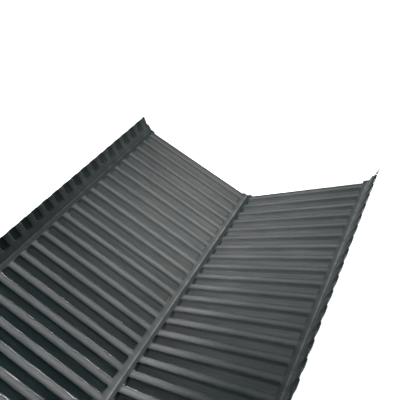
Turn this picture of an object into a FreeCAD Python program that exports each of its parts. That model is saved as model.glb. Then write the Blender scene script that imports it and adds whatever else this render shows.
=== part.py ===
import FreeCAD, Part
import math
import os

# Ribbed roof valley flashing: one piece of coated aluminium sheet, cut from a ribbed coil.
# It lies as it comes to rest on a floor: one wing flat, the other raised.
# X runs across the valley, Y along it and Z up. Sizes are in millimetres.
# The origin is on the floor, under the middle of the sheet.

# The sheet and its folds
sheet_length = 2000.0
sheet_thickness = 0.7
wing_width = 222.0
flange_width = 28.0
valley_angle = 127.0
flange_turn = 45.0
crease_radius = 2.0
bend_radius = 3.0

# The pressed grooves, measured on the face that carries the water
rib_pitch = 21.0
ridge_width = 9.0
groove_depth = 4.0
wall_angle = 70.0
crease_strip = 8.0
bend_strip = 8.5
flange_strip = 10.0

# A flange's groove gets shallower towards the free edge, and leaves it slightly wavy
flange_groove_depth = 3.6
run_out_depth = 1.2


def unit(degrees):
    """Unit vector in the section plane, at an angle from +X."""
    return FreeCAD.Vector(math.cos(math.radians(degrees)), 0, math.sin(math.radians(degrees)))


class Panel:
    """A flat strip of the section, with its direction and the normal of its wet face."""

    def __init__(self, start, along, wet_normal, width):
        self.start = start
        self.along = along
        self.wet_normal = wet_normal
        self.end = start + along * width


# The valley's crease, where the two wings meet, and the rise of the wing that stands up
crease = FreeCAD.Vector(0, 0, groove_depth + sheet_thickness)
rise = 180.0 - valley_angle

resting_wing = Panel(crease, unit(180), unit(90), wing_width)
raised_wing = Panel(crease, unit(rise), unit(rise + 90), wing_width)
resting_flange = Panel(
    resting_wing.end, unit(180 - flange_turn), unit(90 - flange_turn), flange_width
)
raised_flange = Panel(
    raised_wing.end, unit(rise + flange_turn), unit(rise + flange_turn + 90), flange_width
)


def fold_line(depth):
    """The section's line at a depth below the wet face: four straights and three bends."""
    panels = [resting_flange, resting_wing, raised_wing, raised_flange]
    folds = [resting_wing.end, crease, raised_wing.end]
    corners = [resting_flange.end - resting_flange.wet_normal * depth]
    for fold, before, after in zip(folds, panels, panels[1:]):
        both = before.wet_normal + after.wet_normal
        mitre = both * (1 / (1 + before.wet_normal.dot(after.wet_normal)))
        corners.append(fold - mitre * depth)
    corners.append(raised_flange.end - raised_flange.wet_normal * depth)

    edges = []
    straight_start = corners[0]
    inner_radii = [bend_radius, crease_radius, bend_radius]
    for before, corner, after, inner_radius in zip(corners, corners[1:], corners[2:], inner_radii):
        back = (before - corner).normalize()
        ahead = (after - corner).normalize()
        half_turn = (math.pi - back.getAngle(ahead)) / 2
        radius = inner_radius + depth
        arc_start = corner + back * (radius * math.tan(half_turn))
        arc_end = corner + ahead * (radius * math.tan(half_turn))
        arc_middle = corner + (back + ahead).normalize() * (radius / math.cos(half_turn) - radius)
        edges.append(Part.makeLine(straight_start, arc_start))
        edges.append(Part.Arc(arc_start, arc_middle, arc_end).toShape())
        straight_start = arc_end
    edges.append(Part.makeLine(straight_start, corners[-1]))
    return edges


def folded_sheet():
    """The plain sheet folded to its section, a pitch longer at each end than the finished piece."""
    wet_line = fold_line(0)
    dry_line = fold_line(sheet_thickness)
    resting_rim = Part.makeLine(wet_line[0].firstVertex().Point, dry_line[0].firstVertex().Point)
    raised_rim = Part.makeLine(wet_line[-1].lastVertex().Point, dry_line[-1].lastVertex().Point)
    outline = Part.Wire(Part.sortEdges(wet_line + [raised_rim] + dry_line + [resting_rim])[0])
    stock_length = sheet_length + 2 * rib_pitch
    section = Part.Face(outline)
    section.translate(FreeCAD.Vector(0, -stock_length / 2, 0))
    return section.extrude(FreeCAD.Vector(0, stock_length, 0))


def groove(near, far, skin, runs_out):
    """One pressed groove from near to far, grown on all sides by a skin.

    It is made flat: X along the groove, Y down from the wet face and Z along the valley.
    Its walls slope in to the floor. One that runs out has no wall at its far end.
    """
    wall = math.radians(wall_angle)
    spread = skin / math.sin(wall)
    depth = groove_depth + skin
    run = depth / math.tan(wall)
    half_mouth = (rib_pitch - ridge_width) / 2 + spread
    mouth_near = near - spread
    mouth_far = far if runs_out else far + spread
    floor_far = far if runs_out else mouth_far - run
    return Part.makeWedge(
        mouth_near, 0, -half_mouth,
        -half_mouth + run, mouth_near + run,
        mouth_far, depth, half_mouth,
        half_mouth - run, floor_far,
    )


def flange_groove(skin):
    """The groove up a flange, with its floor sloping up to the run-out at the free edge."""
    slope = math.atan((flange_groove_depth - run_out_depth) / (flange_width - flange_strip))
    reach = 2 * flange_width
    above_floor = Part.makeBox(
        2 * reach, reach, 2 * reach, FreeCAD.Vector(-reach, -reach, -reach)
    )
    across = FreeCAD.Vector(0, 0, 1)
    above_floor.rotate(FreeCAD.Vector(0, 0, 0), across, -math.degrees(slope))
    floor_end = FreeCAD.Vector(flange_width, run_out_depth + skin / math.cos(slope), 0)
    above_floor.translate(floor_end)
    return groove(flange_strip, flange_width, skin, True).common(above_floor)


def placed_on(panel, block):
    """A flat-made block laid on a panel of the section."""
    into_sheet = panel.wet_normal * -1
    across = panel.along.cross(into_sheet)
    turned = FreeCAD.Rotation(panel.along, into_sheet, across, "XYZ")
    laid = block.copy()
    laid.Placement = FreeCAD.Placement(panel.start, turned)
    return laid


def groove_set(skin):
    """The four grooves of one pitch: one across each wing and one up each flange."""
    wing_groove = groove(crease_strip, wing_width - bend_strip, skin, False)
    blocks = [placed_on(wing, wing_groove) for wing in [resting_wing, raised_wing]]
    for flange in [resting_flange, raised_flange]:
        blocks.append(placed_on(flange, flange_groove(skin)))
    return blocks


def along_valley(blocks):
    """The blocks repeated at the rib pitch, both ways from a ridge at the sheet's middle."""
    pairs = math.ceil(sheet_length / rib_pitch / 2)
    copies = []
    for index in range(-pairs, pairs):
        for block in blocks:
            copy = block.copy()
            copy.translate(FreeCAD.Vector(0, (index + 0.5) * rib_pitch, 0))
            copies.append(copy)
    return copies


def cut_to_length(stock):
    """The stock trimmed square at both ends."""
    reach = 2 * (wing_width + flange_width)
    saw_gap = Part.makeBox(
        2 * reach, sheet_length, 2 * reach,
        FreeCAD.Vector(-reach, -sheet_length / 2, -reach),
    )
    return stock.common(saw_gap)


def valley_sheet():
    """The finished flashing, moved so that the origin is under the middle of it."""
    pressed = folded_sheet().fuse(along_valley(groove_set(sheet_thickness)))
    grooved = pressed.cut(along_valley(groove_set(0)))
    sheet = cut_to_length(grooved).removeSplitter().Solids[0]
    middle = sheet.BoundBox.Center
    sheet.translate(FreeCAD.Vector(-middle.x, 0, -sheet.BoundBox.ZMin))
    return sheet


os.makedirs("parts", exist_ok=True)
valley_sheet().exportStep("parts/valley_sheet.step")
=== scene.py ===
import math

import bmesh
import bpy
from mathutils import Euler, Matrix, Vector


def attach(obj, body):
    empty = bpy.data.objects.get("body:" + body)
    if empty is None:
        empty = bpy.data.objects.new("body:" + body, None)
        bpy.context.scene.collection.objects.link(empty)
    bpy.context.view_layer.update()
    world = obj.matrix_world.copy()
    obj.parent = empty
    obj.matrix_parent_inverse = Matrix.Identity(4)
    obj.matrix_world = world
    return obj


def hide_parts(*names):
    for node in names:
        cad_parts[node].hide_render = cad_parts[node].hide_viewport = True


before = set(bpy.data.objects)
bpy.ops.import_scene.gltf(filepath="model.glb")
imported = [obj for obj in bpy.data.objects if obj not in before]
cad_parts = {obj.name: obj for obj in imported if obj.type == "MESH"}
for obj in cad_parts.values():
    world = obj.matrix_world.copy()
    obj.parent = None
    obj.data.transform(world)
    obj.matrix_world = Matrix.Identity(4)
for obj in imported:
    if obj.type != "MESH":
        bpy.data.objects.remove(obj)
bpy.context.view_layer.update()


# The camera looks along the valley from above its near half, rolled as the photograph is.
# The photograph is 400 pixels wide, and the lens was worked out from the spacing of the ribs.
eye = Vector((0.0503, 0.5084, 0.5495))
sight = Vector((-0.0878, 0.6070, -0.7898)).normalized()
image_up = Vector((-0.5671, 0.6214, 0.5406))
focal_pixels = 391.8
image_pixels = 400
film_width = 36.0

image_right = sight.cross(image_up).normalized()
image_up = image_right.cross(sight)
camera = bpy.data.objects.new("camera", bpy.data.cameras.new("camera"))
camera.data.sensor_width = film_width
camera.data.lens = film_width * focal_pixels / image_pixels
camera.data.clip_start = 0.01
turn = Matrix((image_right, image_up, -sight)).transposed().to_4x4()
camera.matrix_world = Matrix.Translation(eye) @ turn
bpy.context.collection.objects.link(camera)
bpy.context.scene.camera = camera


# The valley sheet: one strip of aluminium, 0.7 mm thick and coated in the coil. A press sinks a
# row of cross grooves into both wings and both edge flanges, then the strip is folded down its
# middle and turned up along both edges. One rib pitch is modelled, and then repeated.
mm = 0.001
sheet_length = 2000 * mm
sheet_thickness = 0.7 * mm
crease_x = 53.442 * mm
wet_level = 4.7 * mm
wing_width = 222 * mm
flange_width = 28 * mm
wing_rise = math.radians(53)
flange_turn = math.radians(45)
crease_radius = 2.0 * mm
bend_radius = 3.0 * mm
rib_pitch = 21 * mm
groove_depth = 4.0 * mm
groove_half_width = 6.0 * mm
crease_strip = 8.0 * mm
bend_strip = 8.5 * mm
flange_strip = 10.0 * mm
flange_groove_depth = 3.6 * mm
run_out_depth = 1.2 * mm
wall_angle = math.radians(70)
floor_rounding = 1.2 * mm
mouth_rounding = 0.4 * mm
rounding_chords = 2
crown_width = 2.2 * mm
crown_drop = 0.17 * mm
corner_start = 0.4 * mm
corner_points = 20
pitches = 96
first_groove_y = -(pitches - 1) / 2 * rib_pitch
rim_trim = 0.15 * mm
end_trim = 0.02 * mm
weld_distance = 0.02 * mm
fold_tolerance = 0.01 * mm
bend_x = crease_x - wing_width
rim_x = bend_x - flange_width
crease_tangent = crease_radius * math.tan(wing_rise / 2)
bend_tangent = bend_radius * math.tan(flange_turn / 2)


def rounding(radius):
    """How far each chord of a rounded edge goes out and up, getting steeper."""
    turns = [wall_angle * index / rounding_chords for index in range(rounding_chords + 1)]
    steps = []
    for before, after in zip(turns, turns[1:]):
        out = radius * (math.sin(after) - math.sin(before))
        up = radius * (math.cos(before) - math.cos(after))
        steps.append((out, up))
    return steps


# The groove's side, from the flat floor up to the ridge, whose edges are slightly crowned
rounded_height = (floor_rounding + mouth_rounding) * (1 - math.cos(wall_angle))
wall_height = groove_depth - rounded_height - crown_drop
side_steps = rounding(floor_rounding)
side_steps.append((wall_height / math.tan(wall_angle), wall_height))
side_steps.extend(reversed(rounding(mouth_rounding)))
side_steps.append((crown_width, crown_drop))
rim_beyond_mouth = mouth_rounding * math.tan(wall_angle / 2) + crown_width


def choose(kind, test):
    """Selects only the vertices, edges or faces that pass a test of the part and its middle."""
    bpy.ops.mesh.select_mode(type=kind)
    bpy.ops.mesh.select_all(action="DESELECT")
    shell = bmesh.from_edit_mesh(bpy.context.edit_object.data)
    for part in {"VERT": shell.verts, "EDGE": shell.edges, "FACE": shell.faces}[kind]:
        if kind == "VERT":
            middle = part.co
        elif kind == "EDGE":
            middle = (part.verts[0].co + part.verts[1].co) / 2
        else:
            middle = part.calc_center_median()
        if test(part, middle):
            part.select_set(True)
    bmesh.update_edit_mesh(bpy.context.edit_object.data)


def open_edge(edge, middle):
    """A test for choose: the edges along the strip's open border."""
    return edge.is_boundary


def flat_cell_with_groove(groove_left, groove_right, cell_left, cell_right):
    """One pitch of flat strip with its pressed groove: a round dimple drawn apart to length."""
    centre = Vector(((groove_left + groove_right) / 2, first_groove_y, wet_level - groove_depth))
    bpy.ops.object.select_all(action="DESELECT")
    bpy.ops.mesh.primitive_circle_add(
        vertices=corner_points, radius=corner_start, fill_type="NGON",
        location=centre, rotation=(0, 0, math.pi / corner_points),
    )
    bpy.ops.object.transform_apply(location=True, rotation=True, scale=True)
    bpy.ops.object.mode_set(mode="EDIT")
    reach = corner_start
    for out, up in side_steps:
        choose("EDGE", open_edge)
        bpy.ops.mesh.extrude_edges_move(TRANSFORM_OT_translate={"value": (0, 0, up)})
        grow = (reach + out) / reach
        bpy.ops.transform.resize(value=(grow, grow, 1), center_override=centre)
        reach += out

    half_length = (groove_right - groove_left) / 2 + rim_beyond_mouth - reach
    half_width = groove_half_width + rim_beyond_mouth - reach
    for axis, draw in ((0, half_length), (1, half_width)):
        for side in (-1, 1):
            choose("VERT", lambda point, place: side * (place - centre)[axis] > 0)
            shift = [0, 0, 0]
            shift[axis] = side * draw
            bpy.ops.transform.translate(value=shift)

    # The strip round the groove is drawn out flat to the borders of the pitch
    choose("EDGE", open_edge)
    bpy.ops.mesh.extrude_edges_move(TRANSFORM_OT_translate={"value": (0, 0, 0)})
    half_pitch = rib_pitch / 2
    share_of_corner = 0.6
    borders = [
        (0, -1, half_length, cell_left), (0, 1, half_length, cell_right),
        (1, -1, half_width, centre.y - half_pitch), (1, 1, half_width, centre.y + half_pitch),
    ]
    for axis, side, draw, border in borders:
        line = draw + share_of_corner * reach
        choose(
            "VERT",
            lambda point, place: point.is_boundary and side * (place - centre)[axis] > line,
        )
        flatten = [1, 1, 1]
        flatten[axis] = 0
        pivot = centre.copy()
        pivot[axis] = border
        bpy.ops.transform.resize(value=flatten, center_override=pivot)
    bpy.ops.object.mode_set(mode="OBJECT")
    return bpy.context.object


wing = flat_cell_with_groove(
    bend_x + bend_strip, crease_x - crease_strip, bend_x + bend_tangent, crease_x - crease_tangent
)
groove_overrun = 7 * mm
between_groove_ends = rim_x + 6 * mm
flange = flat_cell_with_groove(
    rim_x - groove_overrun, bend_x - flange_strip,
    rim_x - 2 * groove_overrun, bend_x - bend_tangent,
)

# The flange's groove gets shallower towards the free edge, where it is cut off and leaves the
# edge slightly wavy. The flange is turned up about the wing's edge, and the bend between the
# two is swept from the wing.
bpy.ops.object.mode_set(mode="EDIT")
depth_lost = (flange_groove_depth - run_out_depth) / (flange_width - flange_strip)
overrun_depth = run_out_depth - depth_lost * groove_overrun
for side, depth in ((1, flange_groove_depth), (-1, overrun_depth)):
    choose("VERT", lambda point, place: side * (place.x - between_groove_ends) > 0)
    bpy.ops.transform.resize(
        value=(1, 1, depth / groove_depth), center_override=(0, 0, wet_level)
    )
bpy.ops.mesh.select_all(action="SELECT")
bpy.ops.mesh.bisect(plane_co=(rim_x + rim_trim, 0, 0), plane_no=(-1, 0, 0), clear_outer=True)
bpy.ops.mesh.select_all(action="SELECT")
bpy.ops.transform.rotate(
    value=-flange_turn, orient_axis="Y", center_override=(bend_x, 0, wet_level)
)
bpy.ops.object.mode_set(mode="OBJECT")
bpy.ops.object.select_all(action="DESELECT")
flange.select_set(True)
wing.select_set(True)
bpy.context.view_layer.objects.active = wing
bpy.ops.object.join()
sheet = wing
sheet.name = "ribbed_sheet"
bpy.ops.object.mode_set(mode="EDIT")
bend_start = bend_x + bend_tangent
bend_facets = 3
choose(
    "EDGE",
    lambda edge, middle: edge.is_boundary and abs(middle.x - bend_start) < fold_tolerance,
)
bpy.ops.mesh.spin(
    steps=bend_facets, angle=-flange_turn, center=(bend_start, 0, wet_level + bend_radius),
    axis=(0, 1, 0),
)

# The raised wing and flange mirror the resting ones, and stand up from the crease.
crease = Vector((crease_x, 0, wet_level))
bpy.ops.mesh.select_all(action="SELECT")
bpy.ops.mesh.duplicate()
bpy.ops.transform.resize(value=(-1, 1, 1), center_override=crease)
bpy.ops.mesh.flip_normals()
bpy.ops.transform.rotate(value=wing_rise, orient_axis="Y", center_override=crease)
crease_start = crease_x - crease_tangent
crease_facets = 2
choose(
    "EDGE",
    lambda edge, middle: edge.is_boundary and abs(middle.x - crease_start) < fold_tolerance
    and middle.z < wet_level + fold_tolerance,
)
bpy.ops.mesh.spin(
    steps=crease_facets, angle=wing_rise, center=(crease_start, 0, wet_level + crease_radius),
    axis=(0, 1, 0),
)
bpy.ops.mesh.select_all(action="SELECT")
bpy.ops.mesh.remove_doubles(threshold=weld_distance)
bpy.ops.mesh.normals_make_consistent(inside=True)
bpy.ops.object.mode_set(mode="OBJECT")

# The coating is a matt anthracite enamel, baked on in the coil before pressing. Its gloss and
# surface run in slight streaks along the ribs, with a fine grain, and the streaks are also
# painted lighter as painted sheen. The ribs' sharp edges are painted darker, as painted shade,
# and made rougher. The strips beside the folds are painted dark, as painted shade, and made
# rougher, and a thin painted highlight runs in each fold. The mesh keeps how sharp each edge is,
# and how far each point is from the crease.
anthracite = bpy.data.materials.new("anthracite_coating")
anthracite.use_nodes = True
nodes = anthracite.node_tree.nodes
links = anthracite.node_tree.links
coating = nodes["Principled BSDF"]
coating.inputs["Specular IOR Level"].default_value = 0.2
place = nodes.new("ShaderNodeTexCoord").outputs["Object"]


def speckle(stretch, detail):
    """A noise pattern with so many spots a metre across, along and up."""
    spread = nodes.new("ShaderNodeMapping")
    spread.inputs["Scale"].default_value = stretch
    pattern = nodes.new("ShaderNodeTexNoise")
    pattern.inputs["Scale"].default_value = 1
    pattern.inputs["Detail"].default_value = detail
    links.new(place, spread.inputs["Vector"])
    links.new(spread.outputs["Vector"], pattern.inputs["Vector"])
    return pattern.outputs["Fac"]


def ranged(source, lowest, highest, to_lowest, to_highest):
    """A value moved from one range to another, and held at its ends."""
    change = nodes.new("ShaderNodeMapRange")
    change.inputs["From Min"].default_value = lowest
    change.inputs["From Max"].default_value = highest
    change.inputs["To Min"].default_value = to_lowest
    change.inputs["To Max"].default_value = to_highest
    links.new(source, change.inputs["Value"])
    return change.outputs["Result"]


def calculate(operation, first, second):
    """The sum or product of two values."""
    result = nodes.new("ShaderNodeMath")
    result.operation = operation
    links.new(first, result.inputs[0])
    links.new(second, result.inputs[1])
    return result.outputs["Value"]


def blend(amount, first, second):
    """Two colours mixed; the first is a plain colour or another mix."""
    mixer = nodes.new("ShaderNodeMix")
    mixer.data_type = "RGBA"
    under, over = mixer.inputs[6], mixer.inputs[7]
    links.new(amount, mixer.inputs["Factor"])
    if isinstance(first, tuple):
        under.default_value = first
    else:
        links.new(first, under)
    over.default_value = second
    return mixer.outputs[2]


soft_streaks = speckle((11, 75, 11), 3)
fine_streaks = speckle((35, 800, 35), 2)
clouds = speckle((5, 4, 5), 2)
grain = speckle((1300, 1300, 1300), 1)
# The next noise varies how dark the painted shade on the ribs' sharp edges is
edge_shade_noise = speckle((160, 160, 160), 4)
edge_sharpness = nodes.new("ShaderNodeAttribute")
edge_sharpness.attribute_name = "edge_sharpness"
painted_edge_shade = calculate("MULTIPLY", edge_sharpness.outputs["Fac"], ranged(edge_shade_noise, 0.4, 0.65, 1.3, 0.9))

from_crease = nodes.new("ShaderNodeAttribute")
from_crease.attribute_name = "from_crease"
half_girth = wing_width + flange_width
fold_shade_and_highlight_ramp = nodes.new("ShaderNodeValToRGB")

# Each mark says how many mm it is from the crease, how much painted shade it has (which also
# roughens the coating) and how much painted highlight (which also smooths it)
left_marks = [
    (250.0, 0.5, 0), (224.5, 0.7, 0), (222.6, 1, 0), (222.0, 0, 1), (221.2, 0, 1),
    (220.6, 0.9, 0), (214.0, 0.9, 0), (213.0, 0, 0), (8.5, 0, 0), (6.5, 0.35, 0), (0.9, 0.35, 0),
    (0.4, 0, 1),
]
right_marks = [
    (0.4, 0, 1), (0.9, 1, 0), (9.0, 1, 0), (12.5, 0, 0), (213.0, 0, 0), (214.0, 0.4, 0),
    (219.0, 0.4, 0), (220.2, 0, 1), (222.0, 0, 1), (222.8, 0.6, 0), (224.5, 0.6, 0),
    (226.0, 0, 0), (250.0, 0, 0),
]
marks = [(-out, fold_shade_and_dullness, fold_highlight_and_gloss) for out, fold_shade_and_dullness, fold_highlight_and_gloss in left_marks] + right_marks
stops = fold_shade_and_highlight_ramp.color_ramp.elements
while len(stops) < len(marks):
    stops.new(1)
for stop, (out, fold_shade_and_dullness, fold_highlight_and_gloss) in zip(stops, marks):
    stop.position = (out * mm + half_girth) / (2 * half_girth)
    stop.color = (fold_shade_and_dullness, fold_highlight_and_gloss, 0, 1)
links.new(
    ranged(from_crease.outputs["Fac"], -half_girth, half_girth, 0, 1), fold_shade_and_highlight_ramp.inputs["Fac"]
)
fold_shade_and_highlight = nodes.new("ShaderNodeSeparateColor")
links.new(fold_shade_and_highlight_ramp.outputs["Color"], fold_shade_and_highlight.inputs["Color"])
fold_shade_and_dullness = fold_shade_and_highlight.outputs["Red"]
fold_highlight_and_gloss = calculate(
    "MULTIPLY", fold_shade_and_highlight.outputs["Green"], ranged(soft_streaks, 0.4, 0.6, 0.15, 1)
)

cool_grey = (0.084, 0.092, 0.095, 1)
warm_grey = (0.097, 0.096, 0.093, 1)
painted_sheen_grey = (0.136, 0.135, 0.134, 1)
grain_grey = (0.047, 0.056, 0.060, 1)
painted_fold_shade_grey = (0.010, 0.017, 0.019, 1)
painted_edge_shade_grey = (0.028, 0.034, 0.036, 1)
painted_fold_highlight_grey = (0.22, 0.225, 0.225, 1)
colour = blend(ranged(clouds, 0.35, 0.65, 0, 1), cool_grey, warm_grey)
# The streaks along the ribs are painted lighter: painted sheen, beside the real changes in gloss
# and ripple below
colour = blend(ranged(soft_streaks, 0.4, 0.65, 0, 0.6), colour, painted_sheen_grey)
colour = blend(ranged(fine_streaks, 0.35, 0.6, 0.3, 0), colour, grain_grey)
# The strips beside the folds are painted dark: painted shade
colour = blend(ranged(fold_shade_and_dullness, 0, 1, 0, 0.9), colour, painted_fold_shade_grey)
# The ribs' sharp edges get painted shade, darker than the coating
colour = blend(painted_edge_shade, colour, painted_edge_shade_grey)
# A thin painted highlight is laid along each fold, broken up by the streaks
colour = blend(ranged(fold_highlight_and_gloss, 0, 1, 0, 0.5), colour, painted_fold_highlight_grey)
links.new(colour, coating.inputs["Base Color"])
roughness = ranged(soft_streaks, 0.35, 0.65, 0.58, 0.48)
roughness = calculate("ADD", roughness, ranged(fine_streaks, 0.3, 0.7, 0.03, -0.03))
roughness = calculate("ADD", roughness, ranged(fold_highlight_and_gloss, 0, 1, 0, -0.12))
roughness = calculate("ADD", roughness, ranged(fold_shade_and_dullness, 0, 1, 0, 0.35))
roughness = calculate("ADD", roughness, ranged(edge_sharpness.outputs["Fac"], 0, 0.6, 0, 0.5))
links.new(roughness, coating.inputs["Roughness"])

ripple = nodes.new("ShaderNodeBump")
ripple.inputs["Distance"].default_value = 0.2 * mm
links.new(soft_streaks, ripple.inputs["Height"])
texture = nodes.new("ShaderNodeBump")
texture.inputs["Distance"].default_value = 0.008 * mm
links.new(calculate("ADD", grain, fine_streaks), texture.inputs["Height"])
links.new(ripple.outputs["Normal"], texture.inputs["Normal"])
links.new(texture.outputs["Normal"], coating.inputs["Normal"])

# The shears leave bare aluminium along the cut edges, with fine marks across it.
bare = bpy.data.materials.new("cut_aluminium")
bare.use_nodes = True
nodes = bare.node_tree.nodes
links = bare.node_tree.links
metal = nodes["Principled BSDF"]
metal.inputs["Metallic"].default_value = 1
place = nodes.new("ShaderNodeTexCoord").outputs["Object"]
shear_marks = speckle((2500, 2500, 300), 2)
dark_aluminium = (0.34, 0.35, 0.36, 1)
light_aluminium = (0.48, 0.49, 0.50, 1)
bare_colour = blend(ranged(shear_marks, 0.35, 0.65, 0, 1), dark_aluminium, light_aluminium)
links.new(bare_colour, metal.inputs["Base Color"])
links.new(ranged(shear_marks, 0.35, 0.65, 0.5, 0.38), metal.inputs["Roughness"])
burr = nodes.new("ShaderNodeBump")
burr.inputs["Distance"].default_value = 0.01 * mm
links.new(shear_marks, burr.inputs["Height"])
links.new(burr.outputs["Normal"], metal.inputs["Normal"])
sheet.data.materials.clear()
sheet.data.materials.append(anthracite)
sheet.data.materials.append(bare)

# The pitch is repeated along the valley, cut square to length and given the sheet's thickness
# on the dry side. The rounded edges are shaded round and the flats stay flat.
row = sheet.modifiers.new("row", "ARRAY")
row.count = pitches
row.use_relative_offset = False
row.use_constant_offset = True
row.constant_offset_displace = (0, rib_pitch, 0)
row.use_merge_vertices = True
row.merge_threshold = weld_distance
bpy.ops.object.modifier_apply(modifier="row")
bpy.ops.object.mode_set(mode="EDIT")
for side in (-1, 1):
    bpy.ops.mesh.select_all(action="SELECT")
    bpy.ops.mesh.bisect(
        plane_co=(0, side * (sheet_length / 2 - end_trim), 0), plane_no=(0, side, 0),
        clear_outer=True,
    )
bpy.ops.object.mode_set(mode="OBJECT")
gauge = sheet.modifiers.new("gauge", "SOLIDIFY")
gauge.thickness = sheet_thickness
gauge.offset = -1
gauge.use_even_offset = True
gauge.material_offset_rim = 1
bpy.ops.object.modifier_apply(modifier="gauge")


def reach_from_crease(place):
    """How far a point is from the crease, along the sheet: below 0 on the resting side."""
    out = place - crease
    raised = out.copy()
    raised.rotate(Euler((0, wing_rise, 0)))
    side = 1 if raised.x > -out.x else -1
    across, up = (raised.x, raised.z) if side > 0 else (-out.x, out.z)
    past_bend = across - wing_width
    if past_bend > 0:
        across = wing_width + past_bend * math.cos(flange_turn) + up * math.sin(flange_turn)
    return side * across


# How sharp each edge is, kept on the mesh: the coating paints sharp edges darker there as painted
# shade, and makes them rougher
edge_emphasis = 2
sharp_edge = math.radians(45)
shell = bmesh.new()
shell.from_mesh(sheet.data)
edge_sharpness_layer = shell.verts.layers.float.new("edge_sharpness")
reach_layer = shell.verts.layers.float.new("from_crease")
for point in shell.verts:
    sharpness = sum(edge.calc_face_angle_signed(0) for edge in point.link_edges)
    point[edge_sharpness_layer] = min(max(edge_emphasis * sharpness, 0), 1)
    point[reach_layer] = reach_from_crease(point.co)
shell.to_mesh(sheet.data)
shell.free()
bpy.ops.object.shade_smooth_by_angle(angle=sharp_edge)
flats = sheet.modifiers.new("flats", "WEIGHTED_NORMAL")
flats.keep_sharp = True
bpy.ops.object.modifier_apply(modifier="flats")

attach(sheet, "root")
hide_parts("valley_sheet")


# The studio: a plain white floor that glows, as a sweep lit from below does, and a wide screen
# low beyond the far end of the valley, which lights the tops of the ribs. A narrow beam from the
# left picks out the nearest ribs, weak lamps fill the grooves, and the room is dim and cool.
bpy.ops.object.select_all(action="DESELECT")
floor_gap = 0.1 * mm
bpy.ops.mesh.primitive_plane_add(size=60, location=(0, 0, -floor_gap))
floor = bpy.context.object
floor.name = "studio_floor"
paper = bpy.data.materials.new("white_paper")
paper.use_nodes = True
sweep = paper.node_tree.nodes["Principled BSDF"]
sweep.inputs["Base Color"].default_value = (0.9, 0.9, 0.9, 1)
sweep.inputs["Roughness"].default_value = 0.9
sweep.inputs["Emission Color"].default_value = (1, 1, 1, 1)
sweep.inputs["Emission Strength"].default_value = 0.8
floor.data.materials.append(paper)


def softbox(name, place, target, width, height, power, colour, spread=180):
    """A lamp with a flat face, aimed at a target; a grid narrows its spread, in degrees."""
    lamp = bpy.data.lights.new(name, "AREA")
    lamp.shape = "RECTANGLE"
    lamp.size = width
    lamp.size_y = height
    lamp.energy = power
    lamp.color = colour
    lamp.spread = math.radians(spread)
    box = bpy.data.objects.new(name, lamp)
    aim = (Vector(target) - Vector(place)).to_track_quat("-Z", "Y")
    box.matrix_world = Matrix.Translation(place) @ aim.to_matrix().to_4x4()
    box.visible_camera = False
    bpy.context.collection.objects.link(box)


warm_white = (1, 0.98, 0.96)
softbox("far_screen", (0.22, 5.66, 0.67), (0, 0.7, 0.1), 1.8, 1.34, 470, (1, 0.96, 0.94))
softbox("near_beam", (-0.36, 2.02, 0.32), (0.002, 0.35, 0), 0.32, 0.1, 0.93, (1, 0.96, 0.95), 7)
softbox("low_end_lamp", (-0.1, 0.92, 0.28), (-0.1, 0.92, 0), 0.3, 0.3, 0.21, warm_white)
softbox("camera_lamp", (0, 0.5, 0.6), (-0.012, 0.955, 0.016), 0.2, 0.2, 0.335, warm_white, 38)
softbox("side_lamp", (-0.3, 0.88, 0.45), (0.12, 0.88, 0.09), 0.3, 0.3, 0.19, warm_white, 45)

world = bpy.data.worlds.new("studio")
world.use_nodes = True
world.node_tree.nodes["Background"].inputs["Color"].default_value = (0.46, 0.88, 1, 1)
world.node_tree.nodes["Background"].inputs["Strength"].default_value = 0.18
bpy.context.scene.world = world
bpy.context.scene.view_settings.view_transform = "Standard"
